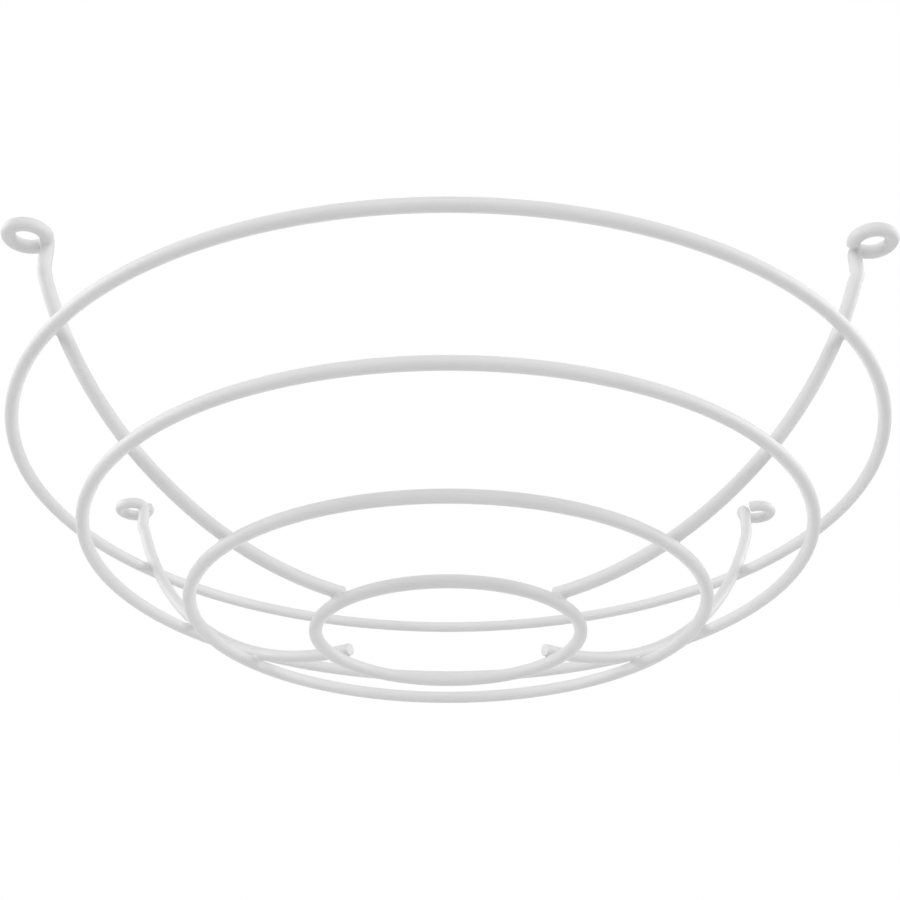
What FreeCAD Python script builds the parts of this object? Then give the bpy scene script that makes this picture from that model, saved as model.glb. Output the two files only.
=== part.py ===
import FreeCAD, Part
import math
import os

# Bulb cage guard: a shallow dish of round steel wire that covers a lamp on a ceiling or a wall.
#
# Four hoops lie one above another and grow towards the lamp's mounting surface. Four ribs run up
# the inside of the dish and are welded to every hoop that they cross. Past the largest hoop each
# rib leans a little to one side, stands upright and ends in an open eyelet, wound flat, that takes
# a screw.
#
# Frame: millimetres, +Z up towards the mounting surface, -Y to the front. The origin is on the
# dish's centre line, level with the lowest point of the smallest hoop.

# Wire
WIRE_D = 4.37             # the round wire that hoops and ribs are both bent from
WELD_SET_DOWN = 0.12      # how far the two wires sink into each other where they are welded

# Ribs, on the wire's centre line
RIB_ARC_R = 119.8         # radius of the long curve that gives the dish its depth
RIB_ARC_OUT = 42.15       # distance from the dish's centre line to that curve's centre
RIB_SPREAD_DEG = 36.0     # angle from the X axis to the nearest rib, seen from above
LEAN_DEG = 10.0           # sideways lean of the short stretch above the long curve
LEAN_BEND_R = 6.0         # radius of the bend into that lean
LEAN_LENGTH = 1.6         # straight length of the leaning stretch
KINK_R = 5.0              # radius of the bend that turns the leaning stretch upright
UPRIGHT = 5.8             # straight length between that bend and the eyelet's bend

# Hoops, by distances round the ribs' long curve, which starts at its lowest point
RIB_END_PAST = 2.05       # from the rib's lower end to the smallest hoop
CENTRE_TO_LOWER = 41.6    # from the smallest hoop to the next
LOWER_TO_UPPER = 41.6     # from there to the next
UPPER_TO_OUTER = 41.2     # from there to the largest hoop
HOOP_BELOW_LEAN = 16.5    # from the largest hoop to the curve's upper end

# Eyelets
EYELET_HOLE_D = 7.3       # clear hole for a 6 mm or quarter-inch screw
EYELET_BEND_INSIDE = 0.8  # radius inside the tight bend between the upright and the eyelet
EYELET_GAP = 0.6          # gap between the wire's free end and the upright

# Worked out from the sizes above
WIRE_R = WIRE_D / 2
HOOP_PITCH_R = RIB_ARC_R + WIRE_D - WELD_SET_DOWN
HOOP_PLACES = {
    "centre_hoop": RIB_END_PAST,
    "lower_hoop": RIB_END_PAST + CENTRE_TO_LOWER,
    "upper_hoop": RIB_END_PAST + CENTRE_TO_LOWER + LOWER_TO_UPPER,
    "outer_hoop": RIB_END_PAST + CENTRE_TO_LOWER + LOWER_TO_UPPER + UPPER_TO_OUTER,
}
RIB_ARC_LENGTH = HOOP_PLACES["outer_hoop"] + HOOP_BELOW_LEAN
ARC_CENTRE_Z = WIRE_R + HOOP_PITCH_R * math.cos(HOOP_PLACES["centre_hoop"] / RIB_ARC_R)
EYELET_R = (EYELET_HOLE_D + WIRE_D) / 2
EYELET_BEND_R = WIRE_R + EYELET_BEND_INSIDE
EYELET_REACH = math.hypot(EYELET_BEND_R, EYELET_R)    # from the upright to the eyelet's middle
RIB_ANGLES = {
    "rib_back_right": RIB_SPREAD_DEG,
    "rib_back_left": 180 - RIB_SPREAD_DEG,
    "rib_front_left": 180 + RIB_SPREAD_DEG,
    "rib_front_right": 360 - RIB_SPREAD_DEG,
}

ORIGIN = FreeCAD.Vector(0, 0, 0)
OUTWARD = FreeCAD.Vector(1, 0, 0)
ACROSS = FreeCAD.Vector(0, 1, 0)
UP = FreeCAD.Vector(0, 0, 1)


class WireBender:
    """Feeds and bends one length of wire, and keeps each stretch that it has made."""

    def __init__(self, start, heading):
        self.place = start
        self.heading = heading
        self.stretches = []

    def section(self):
        """The wire's round section where the bender stands, square to its heading."""
        circle = Part.makeCircle(WIRE_R, self.place, self.heading)
        return Part.Face(Part.Wire(circle))

    def feed(self, length):
        """A straight stretch."""
        step = self.heading * length
        self.stretches.append(self.section().extrude(step))
        self.place = self.place + step

    def bend(self, towards, radius, degrees):
        """A round bend about a centre that lies at this radius, in the direction given."""
        centre = self.place + towards * radius
        axis = self.heading.cross(towards)
        self.stretches.append(self.section().revolve(centre, axis, degrees))
        turn = FreeCAD.Rotation(axis, degrees)
        self.place = centre + turn.multVec(self.place - centre)
        self.heading = turn.multVec(self.heading)

    def bend_to(self, heading, radius):
        """A round bend that leaves the wire running this way."""
        towards = self.heading.cross(heading).cross(self.heading)
        towards.normalize()
        self.bend(towards, radius, math.degrees(self.heading.getAngle(heading)))

    def solid(self):
        """All the stretches as one wire."""
        wire = self.stretches[0]
        if len(self.stretches) > 1:
            wire = wire.multiFuse(self.stretches[1:]).removeSplitter()
        return wire.Solids[0]


def eyelet_turn():
    """How far the wire runs round the eyelet, from the end of its tight bend to its free end."""
    bend_side = math.atan2(EYELET_BEND_R, EYELET_R)
    free_end = WIRE_R + EYELET_GAP
    cosine = (EYELET_REACH ** 2 + EYELET_R ** 2 - free_end ** 2) / (2 * EYELET_REACH * EYELET_R)
    return 360 - math.degrees(bend_side) - math.degrees(math.acos(cosine))


def rib():
    """One rib, above the X axis: the long curve, the lean, the upright and the eyelet."""
    lowest = FreeCAD.Vector(RIB_ARC_OUT, 0, ARC_CENTRE_Z - RIB_ARC_R)
    bender = WireBender(lowest, OUTWARD)
    bender.bend(UP, RIB_ARC_R, math.degrees(RIB_ARC_LENGTH / RIB_ARC_R))
    bender.bend(ACROSS, LEAN_BEND_R, LEAN_DEG)
    bender.feed(LEAN_LENGTH)
    bender.bend_to(UP, KINK_R)
    bender.feed(UPRIGHT)
    # The eyelet's tight bend heads to one side, so that the hole comes straight outward of the dish.
    swing = math.atan2(EYELET_R, EYELET_BEND_R) - math.asin(bender.place.y / EYELET_REACH)
    sideways = FreeCAD.Vector(math.cos(swing), math.sin(swing), 0)
    bender.bend_to(sideways, EYELET_BEND_R)
    bender.bend(sideways.cross(UP), EYELET_R, eyelet_turn())
    return bender.solid()


def hoop(place, ribs):
    """One hoop, with a shallow seat where each rib is welded to it."""
    angle = place / RIB_ARC_R
    radius = RIB_ARC_OUT + HOOP_PITCH_R * math.sin(angle)
    height = ARC_CENTRE_Z - HOOP_PITCH_R * math.cos(angle)
    bender = WireBender(FreeCAD.Vector(radius, 0, height), ACROSS)
    bender.bend(OUTWARD * -1, radius, 360)
    return bender.solid().cut(ribs).Solids[0]


def export(name, solid):
    solid.exportStep(os.path.join("parts", name + ".step"))


def main():
    os.makedirs("parts", exist_ok=True)
    straight_rib = rib()
    ribs = {}
    for name, angle in RIB_ANGLES.items():
        ribs[name] = straight_rib.copy()
        ribs[name].rotate(ORIGIN, UP, angle)
        export(name, ribs[name])
    for name, place in HOOP_PLACES.items():
        export(name, hoop(place, list(ribs.values())))


main()
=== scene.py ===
import math

import bmesh
import bpy
from mathutils import Matrix, Quaternion, Vector


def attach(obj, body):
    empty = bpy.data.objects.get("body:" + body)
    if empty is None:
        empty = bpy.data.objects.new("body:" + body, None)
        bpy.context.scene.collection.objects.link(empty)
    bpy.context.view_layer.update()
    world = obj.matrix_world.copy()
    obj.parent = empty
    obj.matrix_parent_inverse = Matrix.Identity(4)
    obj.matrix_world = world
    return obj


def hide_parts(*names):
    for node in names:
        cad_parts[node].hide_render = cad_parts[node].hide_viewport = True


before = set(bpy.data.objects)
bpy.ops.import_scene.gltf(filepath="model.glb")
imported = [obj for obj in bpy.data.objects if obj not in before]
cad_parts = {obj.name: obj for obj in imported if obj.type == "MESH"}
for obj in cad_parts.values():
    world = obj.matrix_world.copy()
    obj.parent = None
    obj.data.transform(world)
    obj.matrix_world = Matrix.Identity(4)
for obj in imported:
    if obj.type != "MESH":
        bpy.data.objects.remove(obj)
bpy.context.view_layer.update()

# The guard: a dish of white-coated round wire, four hoops welded outside four ribs.
# Sizes are in millimetres until a mesh is made, and are the same as the CAD model's.
MM = 0.001

# Wire
WIRE_D = 4.37
WELD_SET_DOWN = 0.12      # how far two wires sink into each other where they are welded

# Ribs, on the wire's centre line
RIB_ARC_R = 119.8         # radius of the long curve that gives the dish its depth
RIB_ARC_OUT = 42.15       # distance from the dish's centre line to that curve's centre
RIB_SPREAD_DEG = 36.0     # angle from the X axis to the nearest rib, seen from above
LEAN_DEG = 10.0           # sideways lean of the short stretch above the long curve
LEAN_BEND_R = 6.0         # radius of the bend into that lean
LEAN_LENGTH = 1.6         # straight length of the leaning stretch
KINK_R = 5.0              # radius of the bend that turns the leaning stretch upright
UPRIGHT = 5.8             # straight length between that bend and the eyelet's bend

# Hoops, by distances round the ribs' long curve, which starts at its lowest point
RIB_END_PAST = 2.05       # from the rib's lower end to the smallest hoop
CENTRE_TO_LOWER = 41.6    # from the smallest hoop to the next
LOWER_TO_UPPER = 41.6     # from there to the next
UPPER_TO_OUTER = 41.2     # from there to the largest hoop
HOOP_BELOW_LEAN = 16.5    # from the largest hoop to the curve's upper end

# Eyelets
EYELET_HOLE_D = 7.3
EYELET_BEND_INSIDE = 0.8  # radius inside the tight bend between the upright and the eyelet
EYELET_GAP = 0.6          # gap between the wire's free end and the upright

# Welds and cut ends, finer than the CAD model's
END_BREAK = 0.25          # rounding on the edge of a cut end
FILLET = 1.4              # reach of the metal and coat that fill the corner beside a weld
FILLET_FADE = 2.0         # distance over which that corner grows, from the rib's cut end
FILLET_LEAST = 0.01       # share of its reach that the corner has at the cut end itself
SINK = 0.12               # depth inside the other wire at which a surface is hidden
TUCK = 0.15               # how steeply a corner's surface dives once past the corner's middle

# How finely the wires are meshed
AROUND = 64               # points round the wire
RUN_STEP = 1.6            # along a long curve
WELD_STEP = 0.22          # along a wire where another crosses it
WELD_REACH = 4.4          # how far each side of a crossing the fine steps go
UPRIGHT_STEP = 0.8        # along the upright
BEND_STEP = 0.4           # along the eyelet and the lean
TIGHT_STEP = 0.2          # along a tight bend
END_CLEAR = 0.35          # stations nearer than this to a cut end give way to its rounding
FACE_SHARES = (0.25, 0.5, 0.75)   # rings across a cut end's face, as shares of its radius
BREAK_STEPS = 6           # steps round the rounding of a cut end
CORNER_TRIES = 80         # most moves of a point towards a filled corner
CORNER_MISS = 0.002       # how near to the corner's surface is near enough

# Studio, in metres
FLOOR_HALF = 12.0         # half the floor's side
FLOOR_Z = -0.8
FLOOR_FADE = (0.8, 6.0)   # distances from the guard's foot between which it turns white
FLOOR_WHITE = 0.6         # share of plain white in it at the nearer distance
WORLD_LIGHT = 0.49        # strength of the plain light from all round
SOFT_BOX_SIZE = 1.0
SOFT_BOX_AWAY = 1.6       # from the middle of the guard
GUARD_MIDDLE = Vector((0, 0, 0.05))

# Camera, in millimetres and degrees
CAMERA_PLACE = Vector((-4.444, -468.161, -183.071))
CAMERA_YAW_DEG = 0.6179   # turned to the right of straight ahead
CAMERA_PITCH_DEG = 28.6322    # looking up
CAMERA_ROLL_DEG = -0.0161
CAMERA_LENS = 59.723
CAMERA_SENSOR = 36

# Worked out from the sizes above
WIRE_R = WIRE_D / 2
HOOP_PITCH_R = RIB_ARC_R + WIRE_D - WELD_SET_DOWN
HOOP_PLACES = {
    "centre_hoop": RIB_END_PAST,
    "lower_hoop": RIB_END_PAST + CENTRE_TO_LOWER,
    "upper_hoop": RIB_END_PAST + CENTRE_TO_LOWER + LOWER_TO_UPPER,
    "outer_hoop": RIB_END_PAST + CENTRE_TO_LOWER + LOWER_TO_UPPER + UPPER_TO_OUTER,
}
HOOP_TURNS = {name: place / RIB_ARC_R for name, place in HOOP_PLACES.items()}
RIB_ARC_TURN = (HOOP_PLACES["outer_hoop"] + HOOP_BELOW_LEAN) / RIB_ARC_R
ARC_CENTRE_Z = WIRE_R + HOOP_PITCH_R * math.cos(HOOP_TURNS["centre_hoop"])
EYELET_R = (EYELET_HOLE_D + WIRE_D) / 2
EYELET_BEND_R = WIRE_R + EYELET_BEND_INSIDE
EYELET_REACH = math.hypot(EYELET_BEND_R, EYELET_R)    # from the upright to the eyelet's middle
RIB_TURNS = {
    "rib_back_right": math.radians(RIB_SPREAD_DEG),
    "rib_back_left": math.radians(180 - RIB_SPREAD_DEG),
    "rib_front_left": math.radians(180 + RIB_SPREAD_DEG),
    "rib_front_right": math.radians(360 - RIB_SPREAD_DEG),
}

OUTWARD = Vector((1, 0, 0))
ACROSS = Vector((0, 1, 0))
UP = Vector((0, 0, 1))


def along_rib(point):
    """How far along the long curve the rib above the X axis passes a point."""
    return RIB_ARC_R * math.atan2(point.x - RIB_ARC_OUT, ARC_CENTRE_Z - point.z)


def outside_corner(point, to_own, to_other):
    """How far a point lies outside two wires with a filled corner; more once past its middle."""
    reach = FILLET * min(max(along_rib(point) / FILLET_FADE, FILLET_LEAST), 1)
    share = max(1 - abs(to_own - to_other) / reach, 0)
    # A smooth minimum of the two distances, which is a quarter of the reach less in the middle.
    filled = min(to_own, to_other) - share * share * reach / 4
    return filled + max(to_own - to_other, 0) * TUCK


class Weld:
    """The weld of one hoop to the rib above the X axis."""

    def __init__(self, turn):
        self.hoop_radius = RIB_ARC_OUT + HOOP_PITCH_R * math.sin(turn)
        self.hoop_height = ARC_CENTRE_Z - HOOP_PITCH_R * math.cos(turn)
        half_way = (RIB_ARC_R + HOOP_PITCH_R) / 2
        self.middle = Vector((
            RIB_ARC_OUT + half_way * math.sin(turn),
            0,
            ARC_CENTRE_Z - half_way * math.cos(turn),
        ))

    def is_near(self, place):
        """Whether a place on a wire's centre line is so near that the corner reaches it."""
        return (place - self.middle).length < WELD_REACH + WIRE_R

    def to_hoop(self, point):
        """How far a point lies outside the hoop's surface."""
        off_circle = math.hypot(point.x, point.y) - self.hoop_radius
        return math.hypot(off_circle, point.z - self.hoop_height) - WIRE_R

    def to_rib(self, point):
        """How far a point lies outside the rib's surface."""
        off_curve = math.hypot(point.x - RIB_ARC_OUT, point.z - ARC_CENTRE_Z) - RIB_ARC_R
        return max(math.hypot(off_curve, point.y) - WIRE_R, -along_rib(point))

    def fill(self, point, to_own, to_other):
        """A point of one wire, moved away from the weld's middle to the filled corner."""
        away = (point - self.middle).normalized()
        moved = point.copy()
        for _ in range(CORNER_TRIES):
            own, other = to_own(moved), to_other(moved)
            outside = outside_corner(moved, own, other)
            if outside > -CORNER_MISS or other < -SINK:
                break
            moved = moved - away * outside
        return moved

    def fill_rib(self, ring):
        """A ring of the rib's points, moved to the filled corner."""
        return [self.fill(point, self.to_rib, self.to_hoop) for point in ring]

    def fill_hoop(self, ring):
        """A ring of the hoop's points, moved to the filled corner."""
        return [self.fill(point, self.to_hoop, self.to_rib) for point in ring]


class Path:
    """The centre line of a length of wire, as stations: a place, a heading and a side."""

    def __init__(self, start, heading, side):
        self.place = start
        self.heading = heading
        self.side = side
        self.stations = []
        self.add_station()

    def add_station(self):
        """Notes where the wire now is and which way it runs."""
        self.stations.append((self.place.copy(), self.heading.copy(), self.side.copy()))

    def feed(self, length, step):
        """A straight stretch."""
        count = max(1, round(length / step))
        for _ in range(count):
            self.place = self.place + self.heading * (length / count)
            self.add_station()

    def bend(self, towards, radius, turns):
        """A round bend through each of these angles in turn, counted from its start."""
        centre = self.place + towards * radius
        axis = self.heading.cross(towards).normalized()
        spoke, heading, side = self.place - centre, self.heading, self.side
        for turn in turns:
            spin = Quaternion(axis, turn)
            self.place = centre + spin @ spoke
            self.heading = spin @ heading
            self.side = spin @ side
            self.add_station()

    def bend_to(self, heading, radius, step):
        """A round bend that leaves the wire running this way."""
        towards = self.heading.cross(heading).cross(self.heading).normalized()
        self.bend(towards, radius, even_turns(self.heading.angle(heading), radius, step))


def even_turns(angle, radius, step):
    """Angles that divide a bend into steps of about this length."""
    count = max(2, math.ceil(angle * radius / step))
    return [angle * index / count for index in range(1, count + 1)]


def weld_turns(whole, crossings, radius):
    """Angles round a curve, close together where another wire crosses it."""
    turns, turn = [], 0.0
    while turn < whole:
        near = min(abs(turn - crossing) for crossing in crossings) * radius
        turn += (WELD_STEP if near < WELD_REACH else RUN_STEP) / radius
        turns.append(min(turn, whole))
    return turns


def eyelet_turn():
    """How far the wire runs round the eyelet, from the end of its tight bend to its free end."""
    bend_side = math.atan2(EYELET_BEND_R, EYELET_R)
    free_end = WIRE_R + EYELET_GAP
    cosine = (EYELET_REACH**2 + EYELET_R**2 - free_end**2) / (2 * EYELET_REACH * EYELET_R)
    return 2 * math.pi - bend_side - math.acos(cosine)


def rib_path():
    """The rib above the X axis: long curve, lean, upright, tight bend and eyelet."""
    lowest = Vector((RIB_ARC_OUT, 0, ARC_CENTRE_Z - RIB_ARC_R))
    path = Path(lowest, OUTWARD, ACROSS)
    path.bend(UP, RIB_ARC_R, weld_turns(RIB_ARC_TURN, HOOP_TURNS.values(), RIB_ARC_R))
    path.bend(ACROSS, LEAN_BEND_R, even_turns(math.radians(LEAN_DEG), LEAN_BEND_R, TIGHT_STEP))
    path.feed(LEAN_LENGTH, BEND_STEP)
    path.bend_to(UP, KINK_R, TIGHT_STEP)
    path.feed(UPRIGHT, UPRIGHT_STEP)
    # The eyelet's tight bend heads to one side, so that the hole comes straight outward of the dish.
    swing = math.atan2(EYELET_R, EYELET_BEND_R) - math.asin(path.place.y / EYELET_REACH)
    sideways = Vector((math.cos(swing), math.sin(swing), 0))
    path.bend_to(sideways, EYELET_BEND_R, TIGHT_STEP)
    path.bend(sideways.cross(UP), EYELET_R, even_turns(eyelet_turn(), EYELET_R, BEND_STEP))
    return path.stations


def hoop_path(weld):
    """A whole hoop, without its last station, which is its first."""
    radius = weld.hoop_radius
    path = Path(Vector((radius, 0, weld.hoop_height)), ACROSS, UP)
    path.bend(-OUTWARD, radius, weld_turns(2 * math.pi, RIB_TURNS.values(), radius))
    return path.stations[:-1]


def ring_points(station, radius, along=0.0):
    """One ring of points round the wire, moved along it by this much."""
    place, heading, side = station
    other = heading.cross(side)
    middle = place + heading * along
    ring = []
    for index in range(AROUND):
        angle = 2 * math.pi * index / AROUND
        spoke = side * math.cos(angle) + other * math.sin(angle)
        ring.append(middle + spoke * radius)
    return ring


def cut_end(station, sign):
    """Rings of a cut end, from its face's middle round the broken edge; sign 1 is the wire's end."""
    rings = [ring_points(station, (WIRE_R - END_BREAK) * share) for share in FACE_SHARES]
    for index in range(BREAK_STEPS + 1):
        angle = math.pi / 2 * (1 - index / BREAK_STEPS)
        radius = WIRE_R - END_BREAK * (1 - math.cos(angle))
        rings.append(ring_points(station, radius, sign * END_BREAK * (math.sin(angle) - 1)))
    return rings


def rib_rings(welds):
    """Rings of points for a rib, with both cut ends rounded and the welds' corners filled."""
    stations = rib_path()
    first, last = stations[0], stations[-1]
    rings = cut_end(first, -1)
    for station in stations:
        place = station[0]
        if min((place - first[0]).length, (place - last[0]).length) < END_CLEAR:
            continue
        ring = ring_points(station, WIRE_R)
        for weld in welds:
            if weld.is_near(place):
                ring = weld.fill_rib(ring)
        rings.append(ring)
    rings += reversed(cut_end(last, 1))
    return rings


def hoop_rings(weld):
    """Rings of points for a hoop, with the corners beside its four welds filled."""
    rings = []
    for station in hoop_path(weld):
        ring = ring_points(station, WIRE_R)
        for turn in RIB_TURNS.values():
            to_world = Matrix.Rotation(turn, 3, "Z")
            to_rib = to_world.transposed()
            if weld.is_near(to_rib @ station[0]):
                filled = weld.fill_hoop([to_rib @ point for point in ring])
                ring = [to_world @ point for point in filled]
        rings.append(ring)
    return rings


def tube(name, rings, closed):
    """A mesh object from rings of points, joined in a loop or closed with a fan at each end."""
    mesh = bmesh.new()
    rows = [[mesh.verts.new(point * MM) for point in ring] for ring in rings]
    pairs = list(zip(rows, rows[1:]))
    if closed:
        pairs.append((rows[-1], rows[0]))
    for low, high in pairs:
        for index in range(AROUND):
            after = (index + 1) % AROUND
            mesh.faces.new((low[index], low[after], high[after], high[index]))
    if not closed:
        close_end(mesh, rows[0], True)
        close_end(mesh, rows[-1], False)
    bmesh.ops.recalc_face_normals(mesh, faces=mesh.faces)
    data = bpy.data.meshes.new(name)
    mesh.to_mesh(data)
    mesh.free()
    data.shade_smooth()
    made = bpy.data.objects.new(name, data)
    bpy.context.collection.objects.link(made)
    return made


def close_end(mesh, row, flip):
    """A fan of triangles that closes a tube's end, turned over at its start."""
    middle = mesh.verts.new(sum((vert.co for vert in row), Vector()) / AROUND)
    for index in range(AROUND):
        corners = [row[index], row[(index + 1) % AROUND], middle]
        mesh.faces.new(reversed(corners) if flip else corners)


def place_piece(piece, node, material):
    """Puts a finished wire in place of its CAD node."""
    piece.data.materials.append(material)
    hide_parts(node)
    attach(piece, "root")


def build_guard():
    """The four ribs, which are one shape turned about the dish's centre line, and the four hoops."""
    coat = coat_material()
    welds = {name: Weld(turn) for name, turn in HOOP_TURNS.items()}
    rings = rib_rings(welds.values())
    for name, turn in RIB_TURNS.items():
        turned = Matrix.Rotation(turn, 3, "Z")
        rib = tube(name + "_wire", [[turned @ point for point in ring] for ring in rings], False)
        place_piece(rib, name, coat)
    for name, weld in welds.items():
        hoop = tube(name + "_wire", hoop_rings(weld), True)
        place_piece(hoop, name, coat)


def new_material(name):
    """A new node material, its nodes, its links and its principled shader."""
    material = bpy.data.materials.new(name)
    material.use_nodes = True
    nodes, links = material.node_tree.nodes, material.node_tree.links
    return material, nodes, links, nodes["Principled BSDF"]


def noise(nodes, links, space, scale, detail):
    """A noise laid out in one of the texture coordinates, such as Object."""
    place = nodes.new("ShaderNodeTexCoord")
    made = nodes.new("ShaderNodeTexNoise")
    made.inputs["Scale"].default_value = scale
    made.inputs["Detail"].default_value = detail
    links.new(place.outputs[space], made.inputs["Vector"])
    return made


def two_tones(nodes, links, value, low, high, socket):
    """Colours a socket by a noise: each tone is a place on the ramp and a colour."""
    ramp = nodes.new("ShaderNodeValToRGB")
    for element, (position, colour) in zip(ramp.color_ramp.elements, (low, high)):
        element.position = position
        element.color = (*colour, 1)
    links.new(value.outputs["Fac"], ramp.inputs["Fac"])
    links.new(ramp.outputs["Color"], socket)


def coat_material():
    """White powder coat: a faint orange peel, slight changes of tone and of gloss."""
    material, nodes, links, shader = new_material("white_powder_coat")
    shader.inputs["Specular IOR Level"].default_value = 0.5

    # Tone and gloss change together, over patches of about two centimetres
    cloud = noise(nodes, links, "Object", 45, 3)
    darker, lighter = (0.715, 0.715, 0.712), (0.745, 0.745, 0.743)
    two_tones(nodes, links, cloud, (0.3, darker), (0.7, lighter), shader.inputs["Base Color"])
    gloss = nodes.new("ShaderNodeMapRange")
    gloss.inputs["To Min"].default_value = 0.46
    gloss.inputs["To Max"].default_value = 0.58
    links.new(cloud.outputs["Fac"], gloss.inputs["Value"])
    links.new(gloss.outputs["Result"], shader.inputs["Roughness"])

    # The orange peel, a little over a millimetre and a half across and very shallow
    peel = noise(nodes, links, "Object", 620, 2)
    peel.inputs["Roughness"].default_value = 0.45
    bump = nodes.new("ShaderNodeBump")
    bump.inputs["Strength"].default_value = 0.35
    bump.inputs["Distance"].default_value = 0.00004
    links.new(peel.outputs["Fac"], bump.inputs["Height"])
    links.new(bump.outputs["Normal"], shader.inputs["Normal"])
    return material


def joined(nodes, links, operation, first, second):
    """A socket that a math operation makes from two others."""
    made = nodes.new("ShaderNodeMath")
    made.operation = operation
    links.new(first, made.inputs[0])
    links.new(second, made.inputs[1])
    return made.outputs[0]


def background_rays(nodes, links):
    """A socket that is 1 for the rays that show the background: seen, reflected or seen through."""
    path = nodes.new("ShaderNodeLightPath").outputs
    reflected = joined(nodes, links, "MAXIMUM", path["Is Camera Ray"], path["Is Glossy Ray"])
    return joined(nodes, links, "MAXIMUM", reflected, path["Is Transmission Ray"])


def floor_material():
    """A pale floor that shows some of its own white, and all of it far away."""
    material, nodes, links, shader = new_material("pale_floor")
    shader.inputs["Roughness"].default_value = 0.8
    grain = noise(nodes, links, "Generated", 3, 2)
    darker, lighter = (0.86, 0.86, 0.86), (0.9, 0.9, 0.9)
    two_tones(nodes, links, grain, (0, darker), (1, lighter), shader.inputs["Base Color"])

    place = nodes.new("ShaderNodeTexCoord")
    away = nodes.new("ShaderNodeVectorMath")
    away.operation = "LENGTH"
    links.new(place.outputs["Object"], away.inputs[0])
    fade = nodes.new("ShaderNodeMapRange")
    fade.interpolation_type = "SMOOTHSTEP"
    fade.inputs["From Min"].default_value = FLOOR_FADE[0]
    fade.inputs["From Max"].default_value = FLOOR_FADE[1]
    fade.inputs["To Min"].default_value = FLOOR_WHITE
    fade.inputs["To Max"].default_value = 1
    links.new(away.outputs["Value"], fade.inputs["Value"])

    seen = background_rays(nodes, links)
    share = joined(nodes, links, "MULTIPLY", fade.outputs["Result"], seen)
    white = nodes.new("ShaderNodeEmission")
    white.inputs["Color"].default_value = (1, 1, 1, 1)
    white.inputs["Strength"].default_value = 1
    mix = nodes.new("ShaderNodeMixShader")
    links.new(share, mix.inputs["Fac"])
    links.new(shader.outputs["BSDF"], mix.inputs[1])
    links.new(white.outputs["Emission"], mix.inputs[2])
    links.new(mix.outputs["Shader"], nodes["Material Output"].inputs["Surface"])
    return material


def build_floor():
    """A large square floor, well below the camera that looks up at the guard."""
    signs = ((-1, -1), (1, -1), (1, 1), (-1, 1))
    corners = [(x * FLOOR_HALF, y * FLOOR_HALF, FLOOR_Z) for x, y in signs]
    data = bpy.data.meshes.new("floor")
    data.from_pydata(corners, [], [(0, 1, 2, 3)])
    data.materials.append(floor_material())
    floor = bpy.data.objects.new("floor", data)
    bpy.context.collection.objects.link(floor)


def background(nodes, strength):
    """White light of this strength from all round."""
    made = nodes.new("ShaderNodeBackground")
    made.inputs["Color"].default_value = (1, 1, 1, 1)
    made.inputs["Strength"].default_value = strength
    return made.outputs["Background"]


def build_world():
    """White to the camera and to reflections, and a plain soft light on the object."""
    world = bpy.data.worlds.new("studio")
    bpy.context.scene.world = world
    world.use_nodes = True
    nodes, links = world.node_tree.nodes, world.node_tree.links
    nodes.clear()
    mix = nodes.new("ShaderNodeMixShader")
    out = nodes.new("ShaderNodeOutputWorld")
    links.new(background_rays(nodes, links), mix.inputs["Fac"])
    links.new(background(nodes, WORLD_LIGHT), mix.inputs[1])
    links.new(background(nodes, 1), mix.inputs[2])
    links.new(mix.outputs["Shader"], out.inputs["Surface"])


def soft_box(name, azimuth, elevation, power):
    """A square lamp that faces the guard; azimuth 0 is behind it and 90 to its right."""
    turn, lift = math.radians(azimuth), math.radians(elevation)
    level = Vector((math.sin(turn), math.cos(turn), 0))
    away = level * math.cos(lift) + UP * math.sin(lift)
    lamp = bpy.data.lights.new(name, "AREA")
    lamp.size = SOFT_BOX_SIZE
    lamp.energy = power
    made = bpy.data.objects.new(name, lamp)
    made.location = GUARD_MIDDLE + away * SOFT_BOX_AWAY
    made.rotation_mode = "QUATERNION"
    made.rotation_quaternion = away.to_track_quat("Z", "Y")
    made.visible_camera = False
    bpy.context.collection.objects.link(made)


def build_lights():
    """Soft boxes round the guard: azimuth and elevation in degrees, power in watts."""
    soft_box("front_soft_box", 180, 25, 9.3)
    soft_box("left_soft_box", -90, 18, 11.3)
    soft_box("right_soft_box", 90, 18, 11.3)
    soft_box("back_soft_box", 0, 0, 4.9)


def build_camera():
    """The photograph's camera: close below the guard, in front of it and looking up."""
    yaw, pitch, roll = (
        math.radians(angle) for angle in (CAMERA_YAW_DEG, CAMERA_PITCH_DEG, CAMERA_ROLL_DEG)
    )
    ahead = Vector((math.sin(yaw), math.cos(yaw), 0))
    forward = ahead * math.cos(pitch) + UP * math.sin(pitch)
    level_right = Vector((math.cos(yaw), -math.sin(yaw), 0))
    level_up = level_right.cross(forward)
    right = level_right * math.cos(roll) + level_up * math.sin(roll)
    up = level_up * math.cos(roll) - level_right * math.sin(roll)
    data = bpy.data.cameras.new("camera")
    data.sensor_width = CAMERA_SENSOR
    data.lens = CAMERA_LENS
    camera = bpy.data.objects.new("camera", data)
    axes = Matrix((right, up, -forward)).transposed().to_4x4()
    camera.matrix_world = Matrix.Translation(CAMERA_PLACE * MM) @ axes
    bpy.context.collection.objects.link(camera)
    bpy.context.scene.camera = camera


build_camera()
build_guard()
build_floor()
build_world()
build_lights()
bpy.context.scene.view_settings.view_transform = "Standard"
